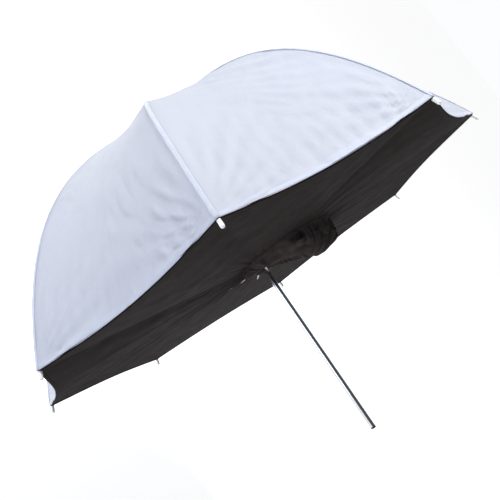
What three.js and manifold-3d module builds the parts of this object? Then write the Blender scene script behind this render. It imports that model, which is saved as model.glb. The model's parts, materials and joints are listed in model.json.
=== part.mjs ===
// A collapsible studio umbrella with eight ribs: a white translucent dome of fabric outside, and a black
// fabric cover across its open side with a loose elastic sleeve that a light head goes through.
// Millimetres. The shaft lies along +Y, from its clamped end at the origin to the crown of the dome.
// Pieces that repeat round the shaft are drawn once in the plane of a rib, x outwards and y along the shaft,
// and are then turned about Y.
import * as THREE from "three";
import { mergeVertices } from "three/addons/utils/BufferGeometryUtils.js";
import Module from "manifold-3d";

// Driving dimensions
const RIB_COUNT = 8;
const FIRST_RIB_DEG = 22.5; // from +X towards +Z, so that a gore is on top
const RIB_LENGTH = 510; // along its arc, from the crown wire to the end of the fabric
const CROWN_SLOPE_DEG = 10; // slope of a rib at the crown, down from the crown's plane
const RIVET_ALONG = 225; // place of the stretcher's rivet along the rib
const RIVET_BEND = 1 / 302; // a rib is bent most at the rivet, where the stretcher pushes it out, in 1/mm
const TIP_BEND = 1 / 1000; // and it is nearly straight again at the tip
const HINGE_RADIUS = 10; // of the rings of pivots round the shaft, at the crown and at the runner
const RIM_Y = 295; // height of the rim above the clamped end of the shaft
const SHAFT_RADIUS = 4;
const SHAFT_WALL = 0.8;
const GAP = 0.4; // running clearance
const FOLD_DEG = 48; // turn of each rib between open and folded
const SLEEVE_OFFSET = 40; // the sleeve's centre lies this far off the shaft, towards the second rib
const SLEEVE_RADIUS = 89; // where the sleeve meets the cover
const GORE_SAG = 14; // how far the middle of a gore is drawn in from the straight chord between two ribs
const SAG_POWER = 1.4; // above 1, it is drawn in most nearer to the rim than to the crown
const RIM_SCALLOP = 12; // how far the middle of each edge of the rim is drawn in

// Worked out from them
const rad = THREE.MathUtils.degToRad;
const STEP = (2 * Math.PI) / RIB_COUNT;
const HALF = STEP / 2;

// Slope of a rib: its bend grows evenly from nothing at the crown to the rivet, and eases evenly from there.
function slopeAt(along) {
  const inner = Math.min(along, RIVET_ALONG);
  const outer = along - inner;
  const easing = (TIP_BEND - RIVET_BEND) / (RIB_LENGTH - RIVET_ALONG);
  const toRivet = (RIVET_BEND * inner * inner) / (2 * RIVET_ALONG);
  return rad(CROWN_SLOPE_DEG) + toRivet + outer * (RIVET_BEND + (easing * outer) / 2);
}

// How far out and how far down a rib gets along its length.
function reachAt(along, steps = 200) {
  let [out, down] = [0, 0];
  const step = along / steps;
  for (let i = 0; i < steps; i++) {
    const slope = slopeAt((i + 0.5) * step);
    out += step * Math.cos(slope);
    down += step * Math.sin(slope);
  }
  return [out, down];
}
const CROWN_Y = RIM_Y + reachAt(RIB_LENGTH)[1];

// Rib section: a channel that opens inwards
const RIB_WIDTH = 3.2;
const RIB_DEPTH = 3.2;
const RIB_WALL = 0.6;
const CHANNEL_START = 7;
const CHANNEL_END = 500;
const TIP_START = 505;
const TIP_END = 519;
const RIVET_DEPTH = 1.9; // the rivet lies this far under the rib's outer edge
const CORE_DEPTH = 1.6; // and the middle of the rib this far

const CLOTH = 1.2;
const CLOTH_OFFSET = 1.8; // inner face of the dome fabric, out from the ribs' outer edge
const CLOTH_START = 7;
const CLOTH_END = 504;

const CHROME = { color: 0xc9ccd0, roughness: 0.18, metalness: 1 };
const STEEL = { color: 0x9a9da1, roughness: 0.35, metalness: 0.9 };
const BLACK_PLASTIC = { color: 0x17171a, roughness: 0.5, metalness: 0 };
const WHITE_PLASTIC = { color: 0xf2f2f0, roughness: 0.4, metalness: 0 };
const WHITE_NYLON = { color: 0xe9ecf4, roughness: 0.75, metalness: 0 };
const BLACK_NYLON = { color: 0x2e2b2a, roughness: 0.85, metalness: 0 };

const wasm = await Module();
wasm.setup();
const umbrella = new THREE.Group();

function addPart(name, finish, geometry, turn = 0) {
  const mesh = new THREE.Mesh(geometry, new THREE.MeshStandardMaterial(finish));
  mesh.name = name;
  mesh.rotation.y = -turn;
  umbrella.add(mesh);
  return mesh;
}

function toSolid(geometry) {
  const bare = geometry.clone();
  bare.deleteAttribute("normal");
  bare.deleteAttribute("uv");
  const merged = mergeVertices(bare, 1e-4);
  const vertProperties = new Float32Array(merged.attributes.position.array);
  const triVerts = new Uint32Array(merged.index.array);
  return new wasm.Manifold(new wasm.Mesh({ numProp: 3, vertProperties, triVerts }));
}

function toGeometry(solid) {
  const made = solid.getMesh();
  const geometry = new THREE.BufferGeometry();
  geometry.setAttribute("position", new THREE.BufferAttribute(made.vertProperties, 3));
  geometry.setIndex(new THREE.BufferAttribute(made.triVerts, 1));
  return geometry.toNonIndexed();
}

function join(...geometries) {
  return toGeometry(geometries.map(toSolid).reduce((all, next) => all.add(next)));
}

function cut(geometry, ...tools) {
  return toGeometry(tools.map(toSolid).reduce((left, tool) => left.subtract(tool), toSolid(geometry)));
}

// A turned piece about Y. The profile runs up the outside.
function turned(points, segments = 24) {
  return new THREE.LatheGeometry(points.map(([x, y]) => new THREE.Vector2(x, y)), segments);
}

// A ring of round wire about Y.
function wireRing(ringRadius, wireRadius, y, sides = 6, segments = 32) {
  const ring = new THREE.TorusGeometry(ringRadius, wireRadius, sides, segments);
  return ring.rotateX(Math.PI / 2).translate(0, y, 0);
}

// A plate in the x-y plane, centred on z = 0.
function plate(shape, thickness, z = 0) {
  const made = new THREE.ExtrudeGeometry(shape, { depth: thickness, bevelEnabled: false, curveSegments: 3 });
  return made.translate(0, 0, z - thickness / 2);
}

function box(x0, x1, y0, y1, z0, z1) {
  const made = new THREE.BoxGeometry(x1 - x0, y1 - y0, z1 - z0);
  return made.translate((x0 + x1) / 2, (y0 + y1) / 2, (z0 + z1) / 2);
}

// A rod along z.
function crossRod(radius, length, x, y, sides = 8) {
  return new THREE.CylinderGeometry(radius, radius, length, sides).rotateX(Math.PI / 2).translate(x, y, 0);
}

// The rib's outer edge, and how far out from it a point lies, in the rib's plane.
function onRib(along, out = 0) {
  const slope = slopeAt(along);
  const [reach, drop] = reachAt(along);
  const radius = HINGE_RADIUS + reach + out * Math.sin(slope);
  return new THREE.Vector3(radius, CROWN_Y - drop + out * Math.cos(slope), 0);
}

class RibArc extends THREE.Curve {
  getPoint(t) {
    return onRib(THREE.MathUtils.lerp(CHANNEL_START, CHANNEL_END, t));
  }
}

// The pivots of one spoke of the frame: rib at the crown, rivet, and stretcher at the runner
const CROWN_PIVOT = new THREE.Vector3(HINGE_RADIUS, CROWN_Y, 0);
const RIVET = onRib(RIVET_ALONG, -RIVET_DEPTH);
const STRETCHER_LENGTH = CROWN_PIVOT.distanceTo(RIVET); // equal on both sides of the rivet, to fold evenly
const RIVET_DROP = Math.asin((CROWN_Y - RIVET.y) / STRETCHER_LENGTH);
const RUNNER_Y = CROWN_Y - 2 * STRETCHER_LENGTH * Math.sin(RIVET_DROP);
const RUNNER_TRAVEL = 2 * STRETCHER_LENGTH * Math.sin(RIVET_DROP + rad(FOLD_DEG)) - (CROWN_Y - RUNNER_Y);

function channelShape(width, depth, wall) {
  const half = width / 2;
  const shape = new THREE.Shape();
  shape.moveTo(-half, 0);
  shape.lineTo(-half, -depth);
  shape.lineTo(-half + wall, -depth);
  shape.lineTo(-half + wall, -wall);
  shape.lineTo(half - wall, -wall);
  shape.lineTo(half - wall, -depth);
  shape.lineTo(half, -depth);
  shape.lineTo(half, 0);
  return shape;
}

// A strap from one round end to another, with holes in its ends where they are asked for.
function strapShape(from, to, radius, holeFrom = 0, holeTo = 0) {
  const angle = Math.atan2(to.y - from.y, to.x - from.x);
  const shape = new THREE.Shape();
  shape.absarc(from.x, from.y, radius, angle + Math.PI / 2, angle + 1.5 * Math.PI);
  shape.absarc(to.x, to.y, radius, angle - Math.PI / 2, angle + Math.PI / 2);
  for (const [centre, hole] of [[from, holeFrom], [to, holeTo]]) {
    if (hole > 0) {
      shape.holes.push(new THREE.Path().absarc(centre.x, centre.y, hole, 0, 2 * Math.PI, true));
    }
  }
  return shape;
}

function ribGeometry() {
  const channel = new THREE.ExtrudeGeometry(channelShape(RIB_WIDTH, RIB_DEPTH, RIB_WALL), {
    extrudePath: new RibArc(),
    steps: 14,
    bevelEnabled: false,
  });
  const eye = plate(strapShape(CROWN_PIVOT, onRib(CHANNEL_START + 9, -CORE_DEPTH), 1.5), 2.2);
  const eyeRing = plate(strapShape(CROWN_PIVOT, onRib(1, 0), 2.4), 2.2);
  const pinBase = onRib(CHANNEL_END - 8, -CORE_DEPTH);
  const pinEnd = onRib(TIP_START + 7, -CORE_DEPTH);
  const pin = new THREE.CylinderGeometry(1.1, 1.1, pinBase.distanceTo(pinEnd), 8);
  pin.rotateZ(Math.atan2(pinEnd.y - pinBase.y, pinEnd.x - pinBase.x) - Math.PI / 2);
  pin.translate((pinBase.x + pinEnd.x) / 2, (pinBase.y + pinEnd.y) / 2, 0);
  const seatEnd = onRib(CHANNEL_END - 1.5, -CORE_DEPTH);
  const seat = plate(strapShape(pinBase, seatEnd, 1.3), 2.2);
  const whole = join(channel, eye, eyeRing, seat, pin);
  return cut(whole, crossRod(0.9, 6, CROWN_PIVOT.x, CROWN_PIVOT.y), crossRod(1.1, 6, RIVET.x, RIVET.y));
}

function tipGeometry() {
  const length = TIP_END - TIP_START;
  const made = turned([
    [0, 9],
    [1.5, 9],
    [1.5, 0],
    [2.1, 0],
    [2.6, 1.2],
    [2.6, length - 2],
    [1.8, length - 0.5],
    [0, length],
  ], 12);
  const base = onRib(TIP_START, -CORE_DEPTH);
  const end = onRib(TIP_END, -CORE_DEPTH);
  made.rotateZ(Math.atan2(end.y - base.y, end.x - base.x) - Math.PI / 2);
  return made.translate(base.x, base.y, 0);
}

function stretcherGeometry() {
  const foot = new THREE.Vector3(HINGE_RADIUS, RUNNER_Y, 0);
  const along = (distance) => foot.clone().lerp(RIVET, distance / STRETCHER_LENGTH);
  const channel = new THREE.ExtrudeGeometry(channelShape(2.8, 2.6, RIB_WALL), {
    extrudePath: new THREE.LineCurve3(along(6), along(STRETCHER_LENGTH - 12)),
    steps: 1,
    bevelEnabled: false,
  });
  channel.translate(-1.3 * Math.sin(RIVET_DROP), 1.3 * Math.cos(RIVET_DROP), 0);
  const blade = plate(strapShape(foot, along(14), 1.5), 2);
  const bridge = plate(strapShape(along(STRETCHER_LENGTH - 15), along(STRETCHER_LENGTH - 12), 1.6), 6);
  const cheek = strapShape(along(STRETCHER_LENGTH - 14), RIVET, 1.9, 0, 1.1);
  return join(channel, blade, bridge, plate(cheek, 0.8, 2.5), plate(cheek, 0.8, -2.5));
}

function rivetGeometry() {
  const made = turned([
    [0, -3.9],
    [1.7, -3.3],
    [0.8, -3.3],
    [0.8, 3.3],
    [1.7, 3.3],
    [0, 3.9],
  ], 8);
  return made.rotateX(Math.PI / 2).translate(RIVET.x, RIVET.y, 0);
}

// A slab of cloth between two rows of points: grid[i][j] gives the pair of its inner and outer points.
function clothSlab(grid) {
  const rows = grid.length;
  const columns = grid[0].length;
  const positions = [];
  const indices = [];
  for (const row of grid) {
    for (const pair of row) {
      positions.push(...pair[0].toArray(), ...pair[1].toArray());
    }
  }
  const at = (i, j, side) => 2 * (i * columns + j) + side;
  const quad = (a, b, c, d) => indices.push(a, b, c, a, c, d);
  for (let i = 0; i + 1 < rows; i++) {
    for (let j = 0; j + 1 < columns; j++) {
      quad(at(i, j, 1), at(i, j + 1, 1), at(i + 1, j + 1, 1), at(i + 1, j, 1));
      quad(at(i, j, 0), at(i + 1, j, 0), at(i + 1, j + 1, 0), at(i, j + 1, 0));
    }
    quad(at(i, 0, 0), at(i, 0, 1), at(i + 1, 0, 1), at(i + 1, 0, 0));
    quad(at(i, columns - 1, 1), at(i, columns - 1, 0), at(i + 1, columns - 1, 0), at(i + 1, columns - 1, 1));
  }
  for (let j = 0; j + 1 < columns; j++) {
    quad(at(0, j, 0), at(0, j + 1, 0), at(0, j + 1, 1), at(0, j, 1));
    quad(at(rows - 1, j, 1), at(rows - 1, j + 1, 1), at(rows - 1, j + 1, 0), at(rows - 1, j, 0));
  }
  const geometry = new THREE.BufferGeometry();
  geometry.setAttribute("position", new THREE.Float32BufferAttribute(positions, 3));
  geometry.setIndex(indices);
  return geometry;
}

// A point of the dome: across is -1 and 1 at the middles of the two gores beside the rib, and 0 on the rib.
function onDome(along, across, out) {
  const rib = onRib(along, out);
  const edge = rib.x * Math.cos(HALF);
  const share = along / CLOTH_END;
  const middle = GORE_SAG * Math.sin(Math.PI * share ** SAG_POWER) + RIM_SCALLOP * share ** 6;
  const sag = middle * (1 - (1 - Math.abs(across)) ** 2);
  const slope = slopeAt(along);
  const inwards = THREE.MathUtils.lerp(rib.x, edge * Math.cos(HALF), Math.abs(across));
  const sideways = (edge * Math.sin(HALF) - GAP / 2) * across;
  const shrink = 1 - (sag * Math.sin(slope)) / Math.hypot(inwards, sideways);
  return new THREE.Vector3(inwards * shrink, rib.y - sag * Math.cos(slope), sideways * shrink);
}

function domeGeometry() {
  const rows = 12;
  const grid = [];
  for (let i = 0; i <= rows; i++) {
    const along = THREE.MathUtils.lerp(CLOTH_START, CLOTH_END, i / rows);
    grid.push([-1, -0.5, 0, 0.5, 1].map((across) => [CLOTH_OFFSET, CLOTH_OFFSET + CLOTH]
      .map((out) => onDome(along, across, out))));
  }
  return clothSlab(grid);
}

// The cover is flat, cut round the sleeve. Each panel is centred on a rib.
const COVER_TOP = RIM_Y + 0.4;
const COVER_CORNER = 388;

function coverGeometry(turn) {
  const middle = COVER_CORNER * Math.cos(HALF) - RIM_SCALLOP;
  const shape = new THREE.Shape();
  shape.moveTo(GAP, 0);
  shape.lineTo(GAP + middle * Math.cos(HALF), -middle * Math.sin(HALF));
  shape.lineTo(COVER_CORNER, 0);
  shape.lineTo(GAP + middle * Math.cos(HALF), middle * Math.sin(HALF));
  const flat = plate(shape, CLOTH).rotateX(Math.PI / 2).translate(0, COVER_TOP - CLOTH / 2, 0);
  const hole = new THREE.CylinderGeometry(SLEEVE_RADIUS + 0.6, SLEEVE_RADIUS + 0.6, 20, 48);
  const away = rad(FIRST_RIB_DEG) + STEP - turn;
  hole.translate(SLEEVE_OFFSET * Math.cos(away), COVER_TOP, SLEEVE_OFFSET * Math.sin(away));
  return cut(flat, hole);
}

// Sleeve: a soft skirt that hangs from the hole in the cover and is gathered on an elastic
const MOUTH_RADIUS = 52;
const SLEEVE_DROP = 40;
const ELASTIC_RADIUS = 2.2;
const ELASTIC_DROP = 3.2; // middle of the elastic, below the sleeve's lower edge
const MOUTH_SHIFT = 8; // the mouth lies further from the shaft than the hole does
const HANG = 0.8; // share of its drop that the sleeve keeps in the middle of the hole
const HANG_SLOPE = 0.35; // and how much that share grows by to the side away from the shaft

function sleeveGeometry() {
  const r = SLEEVE_RADIUS;
  const y = COVER_TOP;
  return turned([
    [r - 6, y],
    [r - 16, y - 12],
    [MOUTH_RADIUS + 5, y - SLEEVE_DROP + 12],
    [MOUTH_RADIUS, y - SLEEVE_DROP + 2],
    [MOUTH_RADIUS + 4, y - SLEEVE_DROP],
    [r - 20, y - SLEEVE_DROP + 6],
    [r - 4, y - 16],
    [r, y],
    [r - 6, y],
  ], 36);
}

// Lets a piece of the sleeve lean away from the shaft, along x, and hang lower on that side.
function lean(geometry) {
  const places = geometry.attributes.position;
  for (let i = 0; i < places.count; i++) {
    const drop = COVER_TOP - places.getY(i);
    const away = places.getX(i);
    places.setX(i, away + (MOUTH_SHIFT * drop) / SLEEVE_DROP);
    places.setY(i, COVER_TOP - drop * (HANG + (HANG_SLOPE * away) / SLEEVE_RADIUS));
  }
  return geometry.translate(SLEEVE_OFFSET, 0, 0);
}

// Shaft: a tube, with a window for the catch and a cross hole for the stop pin
const TUBE_START = 3;
const TUBE_END = CROWN_Y + 12;
const HEAD_HALF = 5; // half height of the runner's head
const RUNNER_SKIRT = 46; // the runner's grip reaches this far below its pivots
const CATCH_TOP = RUNNER_Y - RUNNER_SKIRT - 1;
const CATCH_LENGTH = 14;
const STOP_Y = RUNNER_Y + HEAD_HALF + 2;

function shaftGeometry() {
  const inner = SHAFT_RADIUS - SHAFT_WALL;
  const tube = turned([
    [inner, TUBE_START],
    [SHAFT_RADIUS, TUBE_START],
    [SHAFT_RADIUS, TUBE_END],
    [inner, TUBE_END],
    [inner, TUBE_START],
  ], 32);
  const window = box(0, SHAFT_RADIUS + 2, CATCH_TOP - CATCH_LENGTH - 1, CATCH_TOP + 1, -1.3, 1.3);
  return cut(tube, window, crossRod(1.4, 12, 0, STOP_Y));
}

function catchGeometry() {
  const shape = new THREE.Shape();
  shape.moveTo(0.6, CATCH_TOP - CATCH_LENGTH);
  shape.lineTo(3.4, CATCH_TOP - CATCH_LENGTH);
  shape.lineTo(5.8, CATCH_TOP - 2);
  shape.lineTo(5.8, CATCH_TOP);
  shape.lineTo(0.6, CATCH_TOP);
  return plate(shape, 1.6);
}

// The end cap is a plug in the tube, with a rounded head as wide as the shaft
const PLUG_LENGTH = 13;

function endCapGeometry() {
  const plug = SHAFT_RADIUS - SHAFT_WALL - 0.3;
  return turned([
    [0, 0],
    [3.4, 0],
    [SHAFT_RADIUS, 0.8],
    [SHAFT_RADIUS, TUBE_START - GAP],
    [plug, TUBE_START - GAP],
    [plug, PLUG_LENGTH],
    [0, PLUG_LENGTH],
  ], 24);
}

// Slots that hold the inner ends of the ribs or of the stretchers, one for each
function slots(bottom, top, from, width) {
  const made = [];
  for (let i = 0; i < RIB_COUNT; i++) {
    made.push(box(from, 30, bottom, top, -width / 2, width / 2).rotateY(-(rad(FIRST_RIB_DEG) + i * STEP)));
  }
  return made;
}

function crownGeometry() {
  const bore = SHAFT_RADIUS + 0.3;
  const disc = turned([
    [bore, CROWN_Y - 14],
    [6.6, CROWN_Y - 14],
    [7, CROWN_Y - 4],
    [12.4, CROWN_Y - 3.4],
    [12.4, CROWN_Y + 2.4],
    [bore, CROWN_Y + 2.4],
    [bore, CROWN_Y - 14],
  ], 24);
  return cut(disc, ...slots(CROWN_Y - 9, CROWN_Y + 6, 7.2, 3), wireRing(HINGE_RADIUS, 0.85, CROWN_Y));
}

function rosetteGeometry() {
  const bottom = CROWN_Y + 3.2;
  return turned([
    [SHAFT_RADIUS + 0.4, bottom],
    [20, bottom],
    [24, bottom - 0.4],
    [24, bottom + 0.6],
    [20, bottom + 1],
    [SHAFT_RADIUS + 0.4, bottom + 1],
    [SHAFT_RADIUS + 0.4, bottom],
  ], 32);
}

function topCapGeometry() {
  const bottom = CROWN_Y + 4.6;
  const socket = SHAFT_RADIUS + 0.3;
  return turned([
    [0, TUBE_END + 0.4],
    [socket, TUBE_END + 0.4],
    [socket, bottom],
    [11, bottom],
    [11, bottom + 1.4],
    [7, bottom + 3],
    [5.6, bottom + 6],
    [5.4, TUBE_END + 2],
    [4.2, TUBE_END + 4.6],
    [2.2, TUBE_END + 6],
    [0, TUBE_END + 6.4],
  ], 24);
}

// The retaining wire lies in a groove of the head, behind the stretchers' feet
const RUNNER_WIRE_RING = 7.9;
const RUNNER_WIRE_Y = RUNNER_Y + 3.4;

function runnerGeometry() {
  const bore = SHAFT_RADIUS + GAP;
  const bottom = RUNNER_Y - RUNNER_SKIRT;
  const body = turned([
    [bore, bottom],
    [6.8, bottom],
    [7, bottom + 1.5],
    [7, RUNNER_Y - HEAD_HALF],
    [14, RUNNER_Y - HEAD_HALF],
    [14, RUNNER_Y + HEAD_HALF],
    [bore, RUNNER_Y + HEAD_HALF],
    [bore, bottom],
  ], 24);
  const relief = box(0, 6.2, bottom - 1, RUNNER_Y + HEAD_HALF + 1, -1.3, 1.3);
  const spokes = slots(RUNNER_Y - HEAD_HALF - 1, RUNNER_Y + HEAD_HALF + 1, 7.8, 3.4);
  return cut(body, relief, ...spokes, wireRing(RUNNER_WIRE_RING, 0.75, RUNNER_WIRE_Y));
}

const TURNS = Array.from({ length: RIB_COUNT }, (_, i) => rad(FIRST_RIB_DEG) + i * STEP);

addPart("shaft", CHROME, shaftGeometry());
addPart("shaft_end_cap", BLACK_PLASTIC, endCapGeometry());
addPart("stop_pin", STEEL, crossRod(1.1, 11, 0, STOP_Y));
addPart("crown", BLACK_PLASTIC, crownGeometry());
addPart("crown_wire", STEEL, wireRing(HINGE_RADIUS, 0.5, CROWN_Y));
addPart("canopy_rosette", WHITE_NYLON, rosetteGeometry());
addPart("top_cap", WHITE_PLASTIC, topCapGeometry());
addPart("catch", STEEL, catchGeometry());
addPart("runner", BLACK_PLASTIC, runnerGeometry());
addPart("runner_wire", STEEL, wireRing(RUNNER_WIRE_RING, 0.4, RUNNER_WIRE_Y));

const spokePieces = [
  ["rib", CHROME, ribGeometry()],
  ["rib_tip", WHITE_PLASTIC, tipGeometry()],
  ["rivet", STEEL, rivetGeometry()],
  ["stretcher", CHROME, stretcherGeometry()],
  ["canopy_panel", WHITE_NYLON, domeGeometry()],
];
TURNS.forEach((turn, i) => {
  for (const [name, finish, geometry] of spokePieces) {
    addPart(`${name}_${i + 1}`, finish, geometry.clone(), turn);
  }
  addPart(`cover_panel_${i + 1}`, BLACK_NYLON, coverGeometry(turn), turn);
});

addPart("cover_sleeve", BLACK_NYLON, lean(sleeveGeometry()), TURNS[1]);
const elastic = wireRing(MOUTH_RADIUS + 3, ELASTIC_RADIUS, COVER_TOP - SLEEVE_DROP - ELASTIC_DROP, 6, 40);
addPart("sleeve_elastic", BLACK_NYLON, lean(elastic), TURNS[1]);

// What the fold works out to, for anyone who rigs the frame
umbrella.userData = {
  crownPivot: CROWN_PIVOT.toArray(),
  rivet: RIVET.toArray(),
  runnerY: RUNNER_Y,
  runnerTravel: RUNNER_TRAVEL,
  stretcherLength: STRETCHER_LENGTH,
  ribEnd: onRib(RIB_LENGTH, -CORE_DEPTH).toArray(),
};

export default umbrella;
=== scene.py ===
"""A folding studio umbrella: white translucent dome, black cover with a sleeve, chrome shaft and steel frame.

Metres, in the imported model's frame: the shaft lies along +Y from its clamped end at the origin, and +Z is up.
v counts ribs round the shaft: 0 to 7 are the ribs, and the halves between them are the middles of the gores.
"""
import json
import math

import bpy
import numpy as np
from mathutils import Matrix, Vector, noise


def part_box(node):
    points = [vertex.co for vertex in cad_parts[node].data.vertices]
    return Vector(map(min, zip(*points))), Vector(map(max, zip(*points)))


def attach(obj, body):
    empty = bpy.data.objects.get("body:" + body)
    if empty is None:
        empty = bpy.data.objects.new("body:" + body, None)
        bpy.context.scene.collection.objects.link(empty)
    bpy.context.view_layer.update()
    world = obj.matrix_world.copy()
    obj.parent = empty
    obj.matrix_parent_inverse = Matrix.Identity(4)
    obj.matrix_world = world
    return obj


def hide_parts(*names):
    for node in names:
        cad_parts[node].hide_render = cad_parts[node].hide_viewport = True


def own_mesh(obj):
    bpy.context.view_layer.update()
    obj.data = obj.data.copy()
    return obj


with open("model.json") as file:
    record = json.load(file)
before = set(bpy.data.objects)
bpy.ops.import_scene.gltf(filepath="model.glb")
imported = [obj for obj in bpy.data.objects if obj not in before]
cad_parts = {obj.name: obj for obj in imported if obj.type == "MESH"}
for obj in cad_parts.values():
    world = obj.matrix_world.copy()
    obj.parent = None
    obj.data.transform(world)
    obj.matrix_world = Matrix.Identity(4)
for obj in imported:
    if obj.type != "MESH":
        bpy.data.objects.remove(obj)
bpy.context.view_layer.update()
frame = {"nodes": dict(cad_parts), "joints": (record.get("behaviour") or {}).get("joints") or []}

MM = 0.001

# The frame of ribs, as the CAD model has it
RIBS = 8
STEP = 2 * math.pi / RIBS
HALF = STEP / 2
FIRST_RIB = math.radians(22.5)
RIB_LENGTH = 510 * MM
RIVET_ALONG = 225 * MM
CROWN_SLOPE = math.radians(10)
RIVET_BEND = 1 / (302 * MM)  # a rib is bent most at the rivet and hardly at its ends
TIP_BEND = 1 / (1000 * MM)
TIP_START = 504.5 * MM  # the white cap on a rib's end, along the rib
TIP_END = 516.5 * MM
TIP_OUT = -1.6 * MM  # and from the rib's outer edge to the cap's axis
JOINTS = {joint["name"]: joint for joint in frame["joints"]}
PIVOT = Vector(JOINTS["rib_1_pivot"]["pos_m"])
CROWN_Y = PIVOT.y
HINGE_RADIUS = math.hypot(PIVOT.x, PIVOT.z)

# The cloth
DOME_OUT = 2.2 * MM  # the dome's cloth lies this far out from the ribs' outer edge
DOME_START = 9 * MM
DOME_END = 504 * MM
GORE_SAG = 13 * MM  # how far the cloth lies in between the ribs
SAG_POWER = 1.4
RIM_SCALLOP = 12 * MM  # and how much further at the rim
RIM_LIFT = [(6.0 if gore in (0, 5, 6, 7) else -3.5) * MM for gore in range(RIBS)]  # of each gore's lower edge
SLEEVE_SHRINK = 0.89  # the gathered cloth draws its seam in a little
SLEEVE_SHIFT = 1.13  # and hangs further off the shaft than its ring does
SLEEVE_CENTRE = SLEEVE_SHIFT * (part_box("cover_sleeve")[0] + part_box("cover_sleeve")[1]) / 2
SLEEVE_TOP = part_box("cover_sleeve")[1].y
SLEEVE_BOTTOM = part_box("sleeve_elastic")[0].y
SLEEVE_RADIUS = SLEEVE_SHRINK * (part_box("cover_sleeve")[1].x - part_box("cover_sleeve")[0].x) / 2


# ---------------------------------------------------------------- materials

def new_material(name, color, roughness, metallic=0.0):
    """A material with its node tree and its shader node."""
    material = bpy.data.materials.new(name)
    material.use_nodes = True
    shader = material.node_tree.nodes["Principled BSDF"]
    shader.inputs["Base Color"].default_value = (*color, 1)
    shader.inputs["Roughness"].default_value = roughness
    shader.inputs["Metallic"].default_value = metallic
    return material, material.node_tree, shader


def add_node(tree, kind, **values):
    """A node with values for its inputs and its settings."""
    node = tree.nodes.new(kind)
    for key, value in values.items():
        if key in node.inputs:
            node.inputs[key].default_value = value
        else:
            setattr(node, key, value)
    return node


def noise_of(tree, coordinates, scale, detail=3.0, roughness=0.5):
    """Noise from 0 to 1."""
    node = add_node(tree, "ShaderNodeTexNoise", Scale=scale, Detail=detail, Roughness=roughness)
    tree.links.new(coordinates, node.inputs["Vector"])
    return node.outputs["Fac"]


def ramp(tree, factor, low, high):
    """factor, from 0 to 1, as a colour between low and high."""
    node = add_node(tree, "ShaderNodeValToRGB")
    node.color_ramp.elements[0].color = (*low, 1)
    node.color_ramp.elements[1].color = (*high, 1)
    tree.links.new(factor, node.inputs["Fac"])
    return node.outputs["Color"]


def spread(tree, factor, low, high, source=(0, 1)):
    """factor, over the range source, as a number between low and high."""
    node = add_node(tree, "ShaderNodeMapRange")
    node.inputs["From Min"].default_value = source[0]
    node.inputs["From Max"].default_value = source[1]
    node.inputs["To Min"].default_value = low
    node.inputs["To Max"].default_value = high
    tree.links.new(factor, node.inputs["Value"])
    return node.outputs["Result"]


def bump_chain(tree, shader, layers):
    """Bump from several heights, each with its depth in metres."""
    below = None
    for height, depth in layers:
        node = add_node(tree, "ShaderNodeBump", Strength=1.0, Distance=depth)
        tree.links.new(height, node.inputs["Height"])
        if below is not None:
            tree.links.new(below, node.inputs["Normal"])
        below = node.outputs["Normal"]
    tree.links.new(below, shader.inputs["Normal"])
    return below


def weave(tree, uv, threads_per_metre):
    """Height of a plain weave: warp and weft that swap at each crossing."""
    split = add_node(tree, "ShaderNodeSeparateXYZ")
    tree.links.new(uv, split.inputs["Vector"])
    waves = []
    for axis in ("X", "Y"):
        scaled = add_node(tree, "ShaderNodeMath", operation="MULTIPLY")
        scaled.inputs[1].default_value = threads_per_metre * math.pi
        tree.links.new(split.outputs[axis], scaled.inputs[0])
        wave = add_node(tree, "ShaderNodeMath", operation="SINE")
        tree.links.new(scaled.outputs[0], wave.inputs[0])
        waves.append(wave.outputs[0])
    product = add_node(tree, "ShaderNodeMath", operation="MULTIPLY")
    tree.links.new(waves[0], product.inputs[0])
    tree.links.new(waves[1], product.inputs[1])
    return product.outputs[0]


def white_nylon(name="white_nylon", passes=0.42):
    """Thin ripstop-like nylon that lets part of the light through."""
    material, tree, shader = new_material(name, (0.80, 0.83, 0.92), 0.52)
    coordinates = add_node(tree, "ShaderNodeTexCoord")
    uv = coordinates.outputs["UV"]
    cloud = noise_of(tree, uv, 9, 4)
    colour = ramp(tree, cloud, (0.70, 0.735, 0.85), (0.79, 0.82, 0.915))
    tree.links.new(colour, shader.inputs["Base Color"])
    shader.inputs["Sheen Weight"].default_value = 0.15
    shader.inputs["Sheen Roughness"].default_value = 0.4
    shader.inputs["Specular IOR Level"].default_value = 0.35
    rough = spread(tree, noise_of(tree, uv, 60, 3), 0.45, 0.6)
    tree.links.new(rough, shader.inputs["Roughness"])
    crease = noise_of(tree, uv, 55, 5, 0.62)
    normal = bump_chain(tree, shader, [(crease, 1.6 * MM), (weave(tree, uv, 1800), 0.04 * MM)])
    through = add_node(tree, "ShaderNodeBsdfTranslucent", Color=(0.86, 0.88, 0.93, 1))
    tree.links.new(normal, through.inputs["Normal"])
    mix = add_node(tree, "ShaderNodeMixShader", Fac=passes)
    tree.links.new(shader.outputs[0], mix.inputs[1])
    tree.links.new(through.outputs[0], mix.inputs[2])
    tree.links.new(mix.outputs[0], tree.nodes["Material Output"].inputs["Surface"])
    return material


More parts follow.
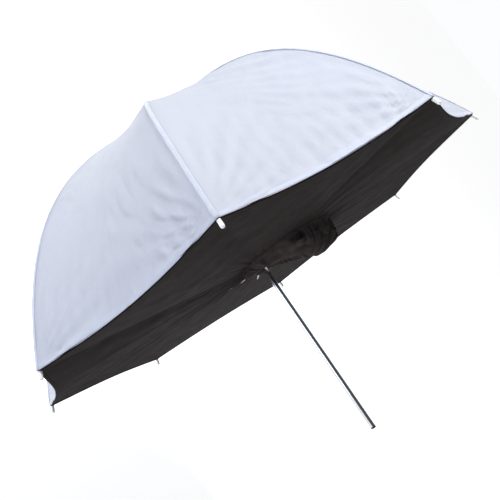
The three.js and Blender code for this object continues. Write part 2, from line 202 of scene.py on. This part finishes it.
def black_nylon(name="black_nylon", lightness=1.0, red=1.0):
    """Opaque coated nylon: near black and dull, with a warm tint that red scales."""
    material, tree, shader = new_material(name, (0.03, 0.026, 0.024), 0.6)
    coordinates = add_node(tree, "ShaderNodeTexCoord")
    uv = coordinates.outputs["UV"]
    cloud = noise_of(tree, uv, 12, 4)
    dark = tuple(lightness * c for c in (0.0120 * red, 0.0092, 0.0092))
    light = tuple(lightness * c for c in (0.0185 * red, 0.0145, 0.0143))
    colour = ramp(tree, cloud, dark, light)
    tree.links.new(colour, shader.inputs["Base Color"])
    shader.inputs["Specular IOR Level"].default_value = 0.02
    rough = spread(tree, noise_of(tree, uv, 40, 3), 0.6, 0.8)
    tree.links.new(rough, shader.inputs["Roughness"])
    crease = noise_of(tree, uv, 45, 4, 0.55)
    bump_chain(tree, shader, [(crease, 1.0 * MM), (weave(tree, uv, 1500), 0.05 * MM)])
    return material


def metal(name, color, roughness, streaks):
    """Plated or drawn steel, with faint streaks along its length."""
    material, tree, shader = new_material(name, color, roughness, 1.0)
    coordinates = add_node(tree, "ShaderNodeTexCoord")
    stretch = add_node(tree, "ShaderNodeMapping")
    stretch.inputs["Scale"].default_value = (900, 25, 900)
    tree.links.new(coordinates.outputs["Object"], stretch.inputs["Vector"])
    grain = noise_of(tree, stretch.outputs["Vector"], 1.0, 2)
    tree.links.new(spread(tree, grain, roughness * 0.7, roughness * 1.4), shader.inputs["Roughness"])
    wide = noise_of(tree, coordinates.outputs["Object"], 30, 3)
    darker = tuple(c * (1 - streaks) for c in color)
    tree.links.new(ramp(tree, wide, darker, color), shader.inputs["Base Color"])
    bump_chain(tree, shader, [(grain, 0.01 * MM)])
    return material


def plastic(name, dark, light, roughness):
    """Moulded plastic with a fine grain."""
    material, tree, shader = new_material(name, light, roughness)
    coordinates = add_node(tree, "ShaderNodeTexCoord").outputs["Object"]
    cloud = noise_of(tree, coordinates, 120, 3)
    tree.links.new(ramp(tree, cloud, dark, light), shader.inputs["Base Color"])
    grain = noise_of(tree, coordinates, 2500, 2)
    tree.links.new(spread(tree, grain, roughness * 0.85, roughness * 1.2), shader.inputs["Roughness"])
    bump_chain(tree, shader, [(grain, 0.03 * MM)])
    return material


MATERIALS = {
    "white_nylon": white_nylon(),
    "white_tape": white_nylon("white_tape", 0.34),
    "black_nylon": black_nylon(),
    "black_tape": black_nylon("black_tape", 1.1),
    # the sleeve is the same black nylon with its colour made 2.9 times lighter: painted light that makes up for
    # the shade on the gathered sleeve
    "sleeve_nylon_painted_lighter": black_nylon("sleeve_nylon_painted_lighter", 2.9, 0.93),
    "chrome_tube": metal("chrome_tube", (0.63, 0.64, 0.66), 0.1, 0.08),
    "chrome_rib": metal("chrome_rib", (0.72, 0.73, 0.75), 0.2, 0.1),
    "steel_wire": metal("steel_wire", (0.50, 0.51, 0.53), 0.32, 0.15),
    "black_plastic": plastic("black_plastic", (0.012, 0.012, 0.014), (0.022, 0.022, 0.025), 0.42),
    "white_plastic": plastic("white_plastic", (0.80, 0.80, 0.78), (0.87, 0.87, 0.85), 0.35),
}


# ---------------------------------------------------------------- mesh helpers

def make_piece(name, vertices, faces, material, uv=None):
    """A smooth piece of one material. uv, if given, has a place on the cloth for each vertex, in metres."""
    mesh = bpy.data.meshes.new(name)
    mesh.from_pydata([tuple(map(float, v)) for v in vertices], [], faces)
    mesh.materials.append(MATERIALS[material])
    if uv is not None:
        layer = mesh.uv_layers.new(name="cloth")
        corners = np.zeros(len(mesh.loops), np.int32)
        mesh.loops.foreach_get("vertex_index", corners)
        layer.data.foreach_set("uv", np.asarray(uv, np.float32)[corners].ravel())
    mesh.polygons.foreach_set("use_smooth", [True] * len(mesh.polygons))
    mesh.update()
    piece = bpy.data.objects.new(name, mesh)
    bpy.context.scene.collection.objects.link(piece)
    return piece


def grid_faces(rows, columns, closed=False, flip=False):
    """Quads of a grid of rows by columns points, and round the columns if it is closed."""
    faces = []
    for i in range(rows - 1):
        for j in range(columns if closed else columns - 1):
            k = (j + 1) % columns
            quad = (i * columns + j, i * columns + k, (i + 1) * columns + k, (i + 1) * columns + j)
            faces.append(quad[::-1] if flip else quad)
    return faces


def faces_along(points, normals):
    """Quads of an open grid of points, each turned the way the normals point."""
    rows, columns = points.shape[:2]
    mid = rows // 2, columns // 2
    across = points[mid[0], mid[1] + 1] - points[mid]
    down = points[mid[0] + 1, mid[1]] - points[mid]
    return grid_faces(rows, columns, flip=float(np.cross(across, down) @ normals[mid]) < 0)


def end_faces(rows, columns):
    """The two faces that close the ends of a round grid."""
    return [tuple(range(columns))[::-1], tuple((rows - 1) * columns + j for j in range(columns))]


def in_metres(profile):
    """A profile of pairs in millimetres, in metres."""
    return [(a * MM, b * MM) for a, b in profile]


def sweep(name, centres, across, out, section, material):
    """A closed section drawn along a line.

    The section is a list of (across, out), or a function of the place along the line that gives one.
    """
    count = len(centres)
    section_of = section if callable(section) else lambda i: section
    rings = [[centres[i] + a * across[i] + b * out[i] for a, b in section_of(i)] for i in range(count)]
    width = len(rings[0])
    vertices = [point for ring in rings for point in ring]
    gaps = np.linalg.norm(np.diff(np.array(centres), axis=0), axis=1)
    lengths = np.concatenate([[0], np.cumsum(gaps)])
    uv = [(a, lengths[i]) for i in range(count) for a, _ in section_of(i)]
    faces = grid_faces(count, width, closed=True) + end_faces(count, width)
    return make_piece(name, vertices, faces, material, uv)


def lathe(name, profile, material, axis_point, axis, sides=48):
    """A turned piece. The profile is (radius, distance along the axis), from one end to the other."""
    axis = Vector(axis).normalized()
    side = axis.orthogonal().normalized()
    other = axis.cross(side)
    vertices = []
    for radius, along in profile:
        for i in range(sides):
            a = 2 * math.pi * i / sides
            vertices.append(Vector(axis_point) + axis * along + side * (radius * math.cos(a))
                            + other * (radius * math.sin(a)))
    faces = grid_faces(len(profile), sides, closed=True) + end_faces(len(profile), sides)
    return make_piece(name, vertices, faces, material)


# ---------------------------------------------------------------- the dome's surface

def slope_at(along):
    """Slope of a rib: its bend grows evenly to the rivet, and eases evenly from there on."""
    inner = np.minimum(along, RIVET_ALONG)
    outer = along - inner
    easing = (TIP_BEND - RIVET_BEND) / (RIB_LENGTH - RIVET_ALONG)
    at_inner = CROWN_SLOPE + RIVET_BEND * inner ** 2 / (2 * RIVET_ALONG)
    return at_inner + outer * (RIVET_BEND + easing * outer / 2)


MARKS = np.linspace(0, 530 * MM, 2121)
MARK_STEP = MARKS[1]
MARK_SLOPES = slope_at(MARKS[1:] - MARK_STEP / 2)
MARK_REACH = np.concatenate([[0], np.cumsum(np.cos(MARK_SLOPES) * MARK_STEP)])
MARK_DROP = np.concatenate([[0], np.cumsum(np.sin(MARK_SLOPES) * MARK_STEP)])


def rib_point(along, out=0.0):
    """Radius and y of a point of a rib's plane, out from its outer edge."""
    slope = slope_at(along)
    radius = HINGE_RADIUS + np.interp(along, MARKS, MARK_REACH) + out * np.sin(slope)
    y = CROWN_Y - np.interp(along, MARKS, MARK_DROP) + out * np.cos(slope)
    return radius, y


def dome_base(along, v):
    """The dome's smooth surface, for arrays of places along the ribs and round the shaft."""
    k = np.floor(v + 0.5)
    u = 2 * (v - k)
    w = np.abs(u)
    radius, y = rib_point(along, DOME_OUT)
    slope = slope_at(along)
    edge = radius * math.cos(HALF)
    radial = radius * (1 - w) + edge * math.cos(HALF) * w
    sideways = edge * math.sin(HALF) * u
    hang = 1 - (1 - w) ** 2
    share = np.clip(along / DOME_END, 0, 1)
    sag = (GORE_SAG * np.sin(math.pi * share ** SAG_POWER) + RIM_SCALLOP * share ** 6) * hang
    shrink = 1 - sag * np.sin(slope) / np.hypot(radial, sideways)
    lift = np.array(RIM_LIFT)[np.floor(v).astype(int) % RIBS]
    y = y - sag * np.cos(slope) + lift * share ** 10 * hang
    turn = FIRST_RIB + k * STEP
    x = shrink * (radial * np.cos(turn) - sideways * np.sin(turn))
    z = shrink * (radial * np.sin(turn) + sideways * np.cos(turn))
    return np.stack([x, y, z], -1)


def noise_at(points, scale, seed):
    """Perlin noise of an array of points, from about -1 to 1."""
    flat = points.reshape(-1, 3) * scale + seed
    values = [noise.noise(Vector(p)) for p in flat]
    return np.array(values).reshape(points.shape[:-1])


def ridges(points, scale, seed):
    """Noise with sharp crests, as crumpled cloth has, from 0 to 1."""
    return 1 - np.abs(noise_at(points, scale, seed)) * 2


# Distances between the crests of the dome's folds
RIM_FOLD = 21 * MM
STRETCH_FOLD = 26 * MM
SEAM_PUCKER = 10 * MM
STITCH = 3.1 * MM


def dome_wrinkles(points, along, v):
    """How far the dome's cloth stands out from its smooth surface.

    It has creases, puckers along the seams, folds along the rim and pulls that run out from the tips.
    """
    k = np.floor(v + 0.5)
    w = np.abs(2 * (v - k))
    share = along / DOME_END
    held = np.clip(share * 5, 0, 1) * np.clip(w * 7, 0, 1)
    from_rim = (1 - share) * DOME_END
    from_rib = w * RIM_HALF_EDGE * np.clip(share * 1.2, 0, 1)
    drift = noise_at(points, 7, 3.0)
    patch = np.clip(0.55 + 1.6 * noise_at(points, 5, 41.0), 0.1, 1.2)
    crumple = ridges(points * np.array([1.0, 0.6, 1.0]), 26, 11.0) + 0.55 * ridges(points, 55, 29.0)
    shallow = noise_at(points, 13, 57.0)
    corner = np.hypot(from_rim, from_rib)
    ray = np.arctan2(from_rib, from_rim + 1e-6)
    pulls = np.cos(21 * ray + 2.5 * drift) * np.exp(-corner / 0.13) * np.clip(corner / 0.03, 0, 1)
    rim_folds = np.sin(from_rib * 2 * math.pi / RIM_FOLD + 5 * drift) * np.exp(-from_rim / 0.09)
    rim_folds *= np.clip(from_rim / 0.012, 0, 1)
    stretch = np.sin(2 * math.pi * (from_rib + 0.35 * along) / STRETCH_FOLD + 7 * drift)
    stretch *= np.clip(noise_at(points, 6, 83.0) * 2, 0, 1) * (1 - share ** 4)
    pucker = np.sin(along * 2 * math.pi / SEAM_PUCKER + 3 * drift) * np.exp(-w / 0.05)
    return MM * (held * (1.3 * patch * crumple + 2.2 * shallow + 1.8 * stretch + 1.1 * rim_folds)
                 + 2.1 * pulls * np.clip(w * 5, 0, 1) + 0.35 * pucker)


def normals_of(points):
    """Unit normals of a grid of points."""
    du = np.gradient(points, axis=1)
    ds = np.gradient(points, axis=0)
    n = np.cross(ds, du)
    return n / np.linalg.norm(n, axis=-1, keepdims=True)


RIM_HALF_EDGE = rib_point(DOME_END)[0] * math.sin(HALF)
DOME_ROWS = 130
DOME_COLUMNS = 56


def dome_grid(k):
    """Points and normals of the dome's panel centred on rib k, and their places along the rib and round.

    The grid is worked out one column wider on each side, so that neighbours shade alike where they meet.
    """
    share = np.linspace(0, 1, DOME_ROWS + 1)
    along = DOME_START + (DOME_END - DOME_START) * share
    across = k + np.linspace(-0.5, 0.5, DOME_COLUMNS + 1)
    wide = np.concatenate([[2 * across[0] - across[1]], across, [2 * across[-1] - across[-2]]])
    s, v = np.meshgrid(along, wide, indexing="ij")
    base = dome_base(s, v)
    out = normals_of(base)
    if out[10, 10, 1] < 0:
        out = -out
    points = base + out * dome_wrinkles(base, s, v)[..., None]
    normals = normals_of(points)
    if normals[10, 10, 1] < 0:
        normals = -normals
    return points[:, 1:-1], normals[:, 1:-1], s[:, 1:-1], v[:, 1:-1]


def radial(turn):
    """Direction from the shaft outwards, at an angle round it."""
    return Vector((math.cos(turn), 0, math.sin(turn)))


def tangent(turn):
    """Direction round the shaft, at an angle round it."""
    return Vector((-math.sin(turn), 0, math.cos(turn)))


def panel_area(points):
    """Area of a grid of points."""
    a, b = points[1:, :-1] - points[:-1, :-1], points[:-1, 1:] - points[:-1, :-1]
    return float(np.linalg.norm(np.cross(a, b), axis=-1).sum())


def make_dome_panel(k):
    """The white canopy's panel centred on rib k."""
    points, normals, s, v = dome_grid(k)
    width = 2 * rib_point(s, 0)[0] * math.tan(HALF)
    uv = np.stack([(v - k) * width + k, s], -1).reshape(-1, 2)
    name = f"canopy_{k + 1}"
    panel = make_piece(name, points.reshape(-1, 3), faces_along(points, normals), "white_nylon", uv)
    panel.data.normals_split_custom_set_from_vertices(normals.reshape(-1, 3).tolist())
    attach(panel, f"rib_{k + 1}")
    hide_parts(f"canopy_panel_{k + 1}")
    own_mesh(panel)


def make_seam(k):
    """The seam tape over rib k: two rows of stitching with a valley between them."""
    turn = FIRST_RIB + k * STEP
    along = np.linspace(DOME_START, DOME_END, 140)
    radius, y = rib_point(along, DOME_OUT)
    slope = slope_at(along)
    centres = [radial(turn) * r + Vector((0, h, 0)) for r, h in zip(radius, y)]
    out = [radial(turn) * math.sin(a) + Vector((0, math.cos(a), 0)) for a in slope]
    across = [tangent(turn)] * len(along)
    profile = [(-2.9, 0.0), (-2.5, 0.55), (-1.5, 0.95), (-0.6, 0.7), (0, 0.35),
               (0.6, 0.7), (1.5, 0.95), (2.5, 0.55), (2.9, 0.0), (0, -0.4)]

    def section(i):
        fall = 0.75 * math.tan(HALF) * math.sin(slope[i])
        pinch = 1 + 0.12 * math.sin(along[i] / STITCH)
        return [(a * MM, (b * pinch - abs(a) * fall) * MM) for a, b in profile]

    seam = sweep(f"canopy_seam_{k + 1}", [np.array(c) for c in centres], [np.array(a) for a in across],
                 [np.array(o) for o in out], section, "white_tape")
    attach(seam, f"rib_{k + 1}")


def make_hem(k):
    """The dome's folded hem along the rim."""
    v = k + np.linspace(-0.5, 0.5, 49)
    line = dome_base(np.full(len(v), DOME_END), v)
    up = dome_base(np.full(len(v), DOME_END - 12 * MM), v) - line
    up /= np.linalg.norm(up, axis=1, keepdims=True)
    side = np.gradient(line, axis=0)
    out = np.cross(up, side)
    out /= np.linalg.norm(out, axis=1, keepdims=True)
    if out[len(line) // 2] @ np.array(radial(FIRST_RIB + k * STEP)) < 0:
        out = -out
    section = in_metres([
        (-0.5, -0.4), (-0.7, 0.2), (0, 0.55), (3, 0.5),
        (6, 0.5), (6.8, 0.1), (6.6, -0.3), (3, -0.5),
    ])
    hem = sweep(f"canopy_hem_{k + 1}", line, up, out, section, "white_nylon")
    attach(hem, f"rib_{k + 1}")
    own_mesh(hem)


def make_tip(k):
    """The white cap on a rib's end, with a collar where the cloth is tied on."""
    turn = FIRST_RIB + k * STEP
    radius, y = rib_point(TIP_START, TIP_OUT)
    radius_end, y_end = rib_point(TIP_END, TIP_OUT)
    base = radial(turn) * radius + Vector((0, y, 0))
    tip = radial(turn) * radius_end + Vector((0, y_end, 0))
    length = (tip - base).length
    profile = in_metres([
        (1.7, 0), (2.2, 0.1), (2.55, 0.6), (2.6, 1.6),
        (2.4, 2.2), (2.3, 2.8), (2.45, 3.4), (2.6, 4.2),
    ])
    rounding = 2.6 * MM
    for i in range(9):
        a = math.pi / 2 * i / 8.3
        profile.append((rounding * math.cos(a), length - rounding + rounding * math.sin(a)))
    piece = lathe(f"rib_end_{k + 1}", profile, "white_plastic", base, tip - base, 32)
    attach(piece, f"rib_{k + 1}")
    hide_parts(f"rib_tip_{k + 1}")


# ---------------------------------------------------------------- the cover across the open side

COVER_INSET = 1.5 * MM  # how far the cover's edge lies inside the dome's, and below it
COVER_BELOW = 1.6 * MM
COVER_ROWS = 70
COVER_COLUMNS = 60
# Seams of the cover that have opened: place round the shaft, start, end and half width of the gap
SLITS = {
    6: ((5.68, 66 * MM, 80 * MM, 1.8 * MM), (6.05, 40 * MM, 68 * MM, 2.2 * MM)),
    7: ((6.76, 54 * MM, 130 * MM, 1.8 * MM),),
}


def sleeve_edge(turn):
    """Distance from the shaft to the sleeve's circle, in the direction turn."""
    cx, cz = SLEEVE_CENTRE.x, SLEEVE_CENTRE.z
    dot = cx * np.cos(turn) + cz * np.sin(turn)
    return dot + np.sqrt(SLEEVE_RADIUS ** 2 - cx ** 2 - cz ** 2 + dot ** 2)


def cover_surface(t, v):
    """The cover from the sleeve, t = 0, to the rim, t = 1."""
    turn = FIRST_RIB + v * STEP
    rim = dome_base(np.full(v.shape, DOME_END), v)
    rim_radius = np.hypot(rim[..., 0], rim[..., 2]) - COVER_INSET
    inner = sleeve_edge(turn)
    radius = inner + (rim_radius - inner) * t
    gather = (1 - t) ** 2.5
    folds = 0.8 * np.sin(turn * 37 + 2 * np.sin(turn * 5)) + 0.5 * np.sin(turn * 61 + 1.3)
    k = np.floor(v + 0.5)
    to_tip = np.exp(-((2 * (v - k)) / (0.10 + 0.25 * (1 - t))) ** 2)
    creases = np.sin(turn * 23 + 6 * np.sin(turn * 3) + 3 * t)
    y = rim[..., 1] * t + (SLEEVE_TOP - 0.5 * MM) * (1 - t) - COVER_BELOW * t
    slack = np.sin(math.pi * t)
    y = y + MM * (0.7 * gather * folds + 0.8 * to_tip * slack + 0.45 * creases * slack)
    points = np.stack([radius * np.cos(turn), y, radius * np.sin(turn)], -1)
    bumpy = noise_at(points, 22, 5.0) * 1.1 + noise_at(points, 50, 17.0) * 0.45
    points[..., 1] += MM * bumpy * np.sin(math.pi * np.clip(t, 0, 1))
    return points


def open_slit(points, v, side, slit):
    """Draws the cloth on one side of a slit away from it, -1 or 1, so that it gapes."""
    place, start, end, half = slit
    away = side * np.array(tangent(FIRST_RIB + place * STEP))
    radius = np.hypot(points[..., 0], points[..., 2])
    near = np.exp(-np.abs(v - place) / 0.04)
    share = np.clip((radius - start) / (end - start), 0, 1)
    return points + (near * half * np.sin(math.pi * share) ** 0.7)[..., None] * away


def cover_grid(columns):
    """Points, normals and v of the cover over columns of v."""
    t = np.linspace(0, 1, COVER_ROWS + 1) ** 1.15
    wide = np.concatenate([[2 * columns[0] - columns[1]], columns, [2 * columns[-1] - columns[-2]]])
    t, v = np.meshgrid(t, wide, indexing="ij")
    points = cover_surface(t, v)
    normals = normals_of(points)
    if normals[10, 5, 1] > 0:
        normals = -normals
    return points[:, 1:-1], normals[:, 1:-1], v[:, 1:-1]


def make_cover_panel(k):
    """A panel of the cover. One with slits is several grids that meet along them."""
    slits = SLITS.get(k, ())
    edges = [k - 0.5, *(slit[0] for slit in slits), k + 0.5]
    vertices, normals, faces, area = [], [], [], 0.0
    for start, end in zip(edges, edges[1:]):
        columns = np.linspace(start, end, max(8, round(COVER_COLUMNS * (end - start))) + 1)
        points, outward, v = cover_grid(columns)
        for slit in slits:
            points = open_slit(points, v, 1 if start >= slit[0] else -1, slit)
        first = sum(len(part) for part in vertices)
        faces += [tuple(first + i for i in face) for face in faces_along(points, outward)]
        vertices.append(points.reshape(-1, 3))
        normals.append(outward.reshape(-1, 3))
        area += panel_area(points)
    vertices, normals = np.concatenate(vertices), np.concatenate(normals)
    panel = make_piece(f"cover_{k + 1}", vertices, faces, "black_nylon", vertices[:, [0, 2]])
    panel.data.normals_split_custom_set_from_vertices(normals.tolist())
    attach(panel, f"cover_{k + 1}")
    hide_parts(f"cover_panel_{k + 1}")
    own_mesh(panel)


def make_binding(k):
    """The black tape that binds the cover's edge to the dome's hem."""
    count = 61
    v = k + np.linspace(-0.5, 0.5, count)
    line = cover_surface(np.ones(count), v)
    side = np.gradient(line, axis=0)
    side /= np.linalg.norm(side, axis=1, keepdims=True)
    inwards = -line * np.array([1, 0, 1])
    inwards /= np.linalg.norm(inwards, axis=1, keepdims=True)
    down = np.cross(side, inwards)
    down /= np.linalg.norm(down, axis=1, keepdims=True)
    down = np.where(down[:, 1:2] > 0, -down, down)
    section = in_metres([
        (-0.9, -2.2), (-1.0, 0.3), (0, 0.8), (2, 0.6), (3.6, 0.4),
        (3.8, 0.1), (2, -0.3), (0.4, -0.4), (0.2, -2.2),
    ])
    tape = sweep(f"cover_binding_{k + 1}", line, inwards, down, section, "black_tape")
    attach(tape, f"cover_{k + 1}")
    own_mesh(tape)


# ---------------------------------------------------------------- the sleeve

MOUTH_RADIUS = 36 * MM  # of the sleeve's free end when limp
SLEEVE_DROP = SLEEVE_TOP - SLEEVE_BOTTOM
SLEEVE_ROWS = 72
SLEEVE_COLUMNS = 400
AWAY = math.atan2(SLEEVE_CENTRE.z, SLEEVE_CENTRE.x)  # direction from the shaft to the sleeve


def sleeve_points():
    """The limp sleeve: a bunch of lobes and pleats that hangs lowest on its side away from the shaft."""
    turns = 2 * math.pi * np.arange(SLEEVE_COLUMNS) / SLEEVE_COLUMNS
    share, a = np.meshgrid(np.linspace(0, 1, SLEEVE_ROWS), turns, indexing="ij")
    low = 0.5 + 0.5 * np.cos(a - AWAY)
    bulge = np.sin(math.pi * np.clip(share * 1.15, 0, 1))
    lobes = 0.55 * np.sin(2 * a + 0.4) + 0.75 * np.sin(5 * a + 1.9) + 0.5 * np.sin(9 * a + 4.1)
    pleat_angle = a + 0.16 * np.sin(3 * a + 2 * share) + 0.07 * np.sin(8 * a + 1 + 3 * share)
    pleats = 0.7 * np.sin(17 * pleat_angle) + 0.5 * np.sin(31 * pleat_angle + 2 * share + 1.1)
    pleats = np.sign(pleats) * np.abs(pleats) ** 0.75
    depth = 3.4 * MM * np.clip(share * 3, 0, 1) * (1.1 - 0.6 * share)
    inner = MOUTH_RADIUS + 4 * MM * np.sin(3 * a + 1)
    reach = SLEEVE_RADIUS + 1.5 * MM
    profile = 1 - share ** 1.7
    radius = inner + (reach - inner) * profile + lobes * 4.5 * MM * bulge + pleats * depth
    fall = SLEEVE_DROP * (0.10 + 0.70 * low ** 1.6 + 0.14 * (0.5 - 0.5 * np.cos(a)))
    turned_up = 0.55 * fall * np.clip((share - 0.86) / 0.14, 0, 1)
    drop = fall * (1 - (1 - np.clip(share * 1.25, 0, 1)) ** 1.8) - turned_up
    drop = drop + (lobes * 2.2 * MM + pleats * 1.3 * MM) * bulge
    tucked = np.exp(-share / 0.02)  # the seam allowance lies inside the cover
    radius = radius + 6 * MM * tucked
    drop = drop - 3.5 * MM * tucked
    centre = 1 - 0.25 * share
    x = SLEEVE_CENTRE.x * centre + radius * np.cos(a)
    z = SLEEVE_CENTRE.z * centre + radius * np.sin(a)
    points = np.stack([x, SLEEVE_TOP - 0.4 * MM - drop, z], -1)
    crush = noise_at(points, 34, 7.0) * 5.0 + ridges(points, 52, 19.0) * 3.6
    sideways = noise_at(points, 40, 31.0) * 5.0 + ridges(points, 62, 23.0) * 2.2
    outwards = noise_at(points, 40, 63.0) * 5.0 + ridges(points, 62, 47.0) * 2.2
    points[..., 0] += MM * sideways * bulge
    points[..., 1] += MM * crush * bulge
    points[..., 2] += MM * outwards * bulge
    keep_clear(points)
    return points, share, a


def keep_clear(points):
    """Keeps the sleeve off the shaft, which comes out beside its mouth."""
    radius = np.hypot(points[..., 0], points[..., 2])
    clear, reach = 7 * MM, 30 * MM
    push = np.where(radius < reach, clear + radius * (1 - clear / reach), radius) / radius
    points[..., 0] *= push
    points[..., 2] *= push


def make_sleeve():
    """The sleeve with its mouth, one closed ring of cloth sewn into the cover."""
    points, share, a = sleeve_points()
    uv = np.stack([a * SLEEVE_RADIUS, share * 0.12], -1).reshape(-1, 2)
    faces = grid_faces(SLEEVE_ROWS, SLEEVE_COLUMNS, closed=True)
    # the sleeve's cloth is painted lighter than the cover's to make up for its shade
    sleeve = make_piece("sleeve", points.reshape(-1, 3), faces, "sleeve_nylon_painted_lighter", uv)
    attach(sleeve, "sleeve")
    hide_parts("cover_sleeve", "sleeve_elastic")
    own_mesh(sleeve)


def make_rosette():
    """The fabric washer under the top cap, gathered round the shaft."""
    low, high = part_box("canopy_rosette")
    radius = (high.x - low.x) / 2
    rows, columns = 16, 96
    turns = 2 * math.pi * np.arange(columns) / columns
    share, a = np.meshgrid(np.linspace(0, 1, rows), turns, indexing="ij")
    hole = 5 * MM
    r = hole + (radius - hole) * share
    y = high.y - 0.3 * MM - 1.0 * MM * share ** 2 + 0.35 * MM * np.sin(24 * a) * share
    top = np.stack([r * np.cos(a), y, r * np.sin(a)], -1).reshape(-1, 3)
    faces = grid_faces(rows, columns, closed=True, flip=True)
    piece = make_piece("rosette", top, faces, "white_tape", top[:, [0, 2]])
    thick = piece.modifiers.new("thick", "SOLIDIFY")
    thick.thickness = 0.6 * MM
    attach(piece, "shaft")
    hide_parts("canopy_rosette")


# ---------------------------------------------------------------- the CAD pieces that stay

CAD_FINISHES = {
    "shaft": "chrome_tube",
    "shaft_end_cap": "black_plastic",
    "stop_pin": "steel_wire",
    "crown": "black_plastic",
    "crown_wire": "steel_wire",
    "top_cap": "white_plastic",
    "catch": "steel_wire",
    "runner": "black_plastic",
    "runner_wire": "steel_wire",
    "rib_": "chrome_rib",
    "rivet_": "steel_wire",
    "stretcher_": "chrome_rib",
}


def finish_cad_nodes():
    """Gives the metal and plastic pieces of the frame their materials and smooth round faces."""
    for name, node in frame["nodes"].items():
        for start, finish in CAD_FINISHES.items():
            if name == start or (start.endswith("_") and name.startswith(start)):
                node.data.materials.clear()
                node.data.materials.append(MATERIALS[finish])
                node.data.polygons.foreach_set("use_smooth", [True] * len(node.data.polygons))
                node.data.set_sharp_from_angle(angle=math.radians(32))


# ---------------------------------------------------------------- stage, lights and camera

FLOOR_Z = -0.62
FLOOR_REACH = 30


def make_stage():
    """A white floor that runs into the white of the world."""
    mesh = bpy.data.meshes.new("floor")
    corners = [(-1, -1), (1, -1), (1, 1), (-1, 1)]
    mesh.from_pydata([(x * FLOOR_REACH, y * FLOOR_REACH, FLOOR_Z) for x, y in corners], [], [(0, 1, 2, 3)])
    floor = bpy.data.objects.new("floor", mesh)
    material, _, shader = new_material("floor", (0.93, 0.93, 0.93), 0.9)
    shader.inputs["Specular IOR Level"].default_value = 0.0
    shader.inputs["Emission Color"].default_value = (1, 1, 1, 1)
    shader.inputs["Emission Strength"].default_value = 0.76
    mesh.materials.append(material)
    bpy.context.scene.collection.objects.link(floor)


def add_area_light(name, size, power, place, target, color=(1, 1, 1)):
    """A square lamp of power watts at a place, turned to a target."""
    light = bpy.data.lights.new(name, "AREA")
    light.shape = "SQUARE"
    light.size = size
    light.energy = power
    light.color = color
    lamp = bpy.data.objects.new(name, light)
    lamp.location = place
    lamp.rotation_euler = (Vector(target) - Vector(place)).to_track_quat("-Z", "Y").to_euler()
    bpy.context.scene.collection.objects.link(lamp)


def make_lights():
    """A white room, dimmer behind the camera and overhead, a softbox above and a bluish one at the side."""
    world = bpy.data.worlds.new("studio")
    world.use_nodes = True
    tree = world.node_tree
    direction = add_node(tree, "ShaderNodeTexCoord").outputs["Generated"]
    facing = add_node(tree, "ShaderNodeVectorMath", operation="DOT_PRODUCT")
    facing.inputs[1].default_value = camera_back()
    tree.links.new(direction, facing.inputs[0])
    split = add_node(tree, "ShaderNodeSeparateXYZ")
    tree.links.new(direction, split.inputs["Vector"])
    behind = spread(tree, facing.outputs["Value"], 1.0, 0.42, (-0.2, 0.7))
    ceiling = spread(tree, split.outputs["Z"], 1.0, 0.2, (0.08, 0.6))
    strength = add_node(tree, "ShaderNodeMath", operation="MULTIPLY")
    tree.links.new(behind, strength.inputs[0])
    tree.links.new(ceiling, strength.inputs[1])
    background = tree.nodes["Background"]
    background.inputs["Color"].default_value = (0.97, 0.98, 1.0, 1)
    tree.links.new(strength.outputs[0], background.inputs["Strength"])
    bpy.context.scene.world = world
    middle = (0, 0.4, 0)
    add_area_light("softbox_top", 0.7, 98, (-0.2, 1.6, 2.5), middle)
    add_area_light("softbox_side", 1.2, 19, (-2.4, 0.5, -0.6), middle, (0.5, 0.68, 1.0))


CAMERA_AIM = Vector((-0.0045, 0.3228, -0.0005))
CAMERA_DISTANCE = 1.1127
CAMERA_AZIMUTH = math.radians(-79.27)
CAMERA_ELEVATION = math.radians(23.77)
CAMERA_ROLL = math.radians(51.19)
CAMERA_LENS_MM = 52.05


def camera_back():
    """Direction from what the camera looks at to the camera."""
    level = math.cos(CAMERA_ELEVATION)
    x, y = math.sin(CAMERA_AZIMUTH) * level, -math.cos(CAMERA_AZIMUTH) * level
    return Vector((x, y, math.sin(CAMERA_ELEVATION)))


def make_camera():
    """The view of the umbrella with its crown at the upper left and its shaft down to the right."""
    camera = bpy.data.cameras.new("camera")
    camera.lens = CAMERA_LENS_MM
    camera.sensor_width = 36
    camera.clip_start = 0.05
    camera.clip_end = 100
    back = camera_back()
    level = Vector((0, 0, 1)).cross(back).normalized()
    upright = back.cross(level)
    right = level * math.cos(CAMERA_ROLL) + upright * math.sin(CAMERA_ROLL)
    up = back.cross(right)
    place = Matrix((right, up, back)).transposed().to_4x4()
    place.translation = CAMERA_AIM + back * CAMERA_DISTANCE
    holder = bpy.data.objects.new("camera", camera)
    holder.matrix_world = place
    bpy.context.scene.collection.objects.link(holder)
    bpy.context.scene.camera = holder


make_camera()
make_stage()
make_lights()
bpy.context.scene.view_settings.view_transform = "Standard"
for rib in range(RIBS):
    make_dome_panel(rib)
    make_seam(rib)
    make_hem(rib)
    make_tip(rib)
    make_cover_panel(rib)
    make_binding(rib)
make_sleeve()
make_rosette()
finish_cad_nodes()
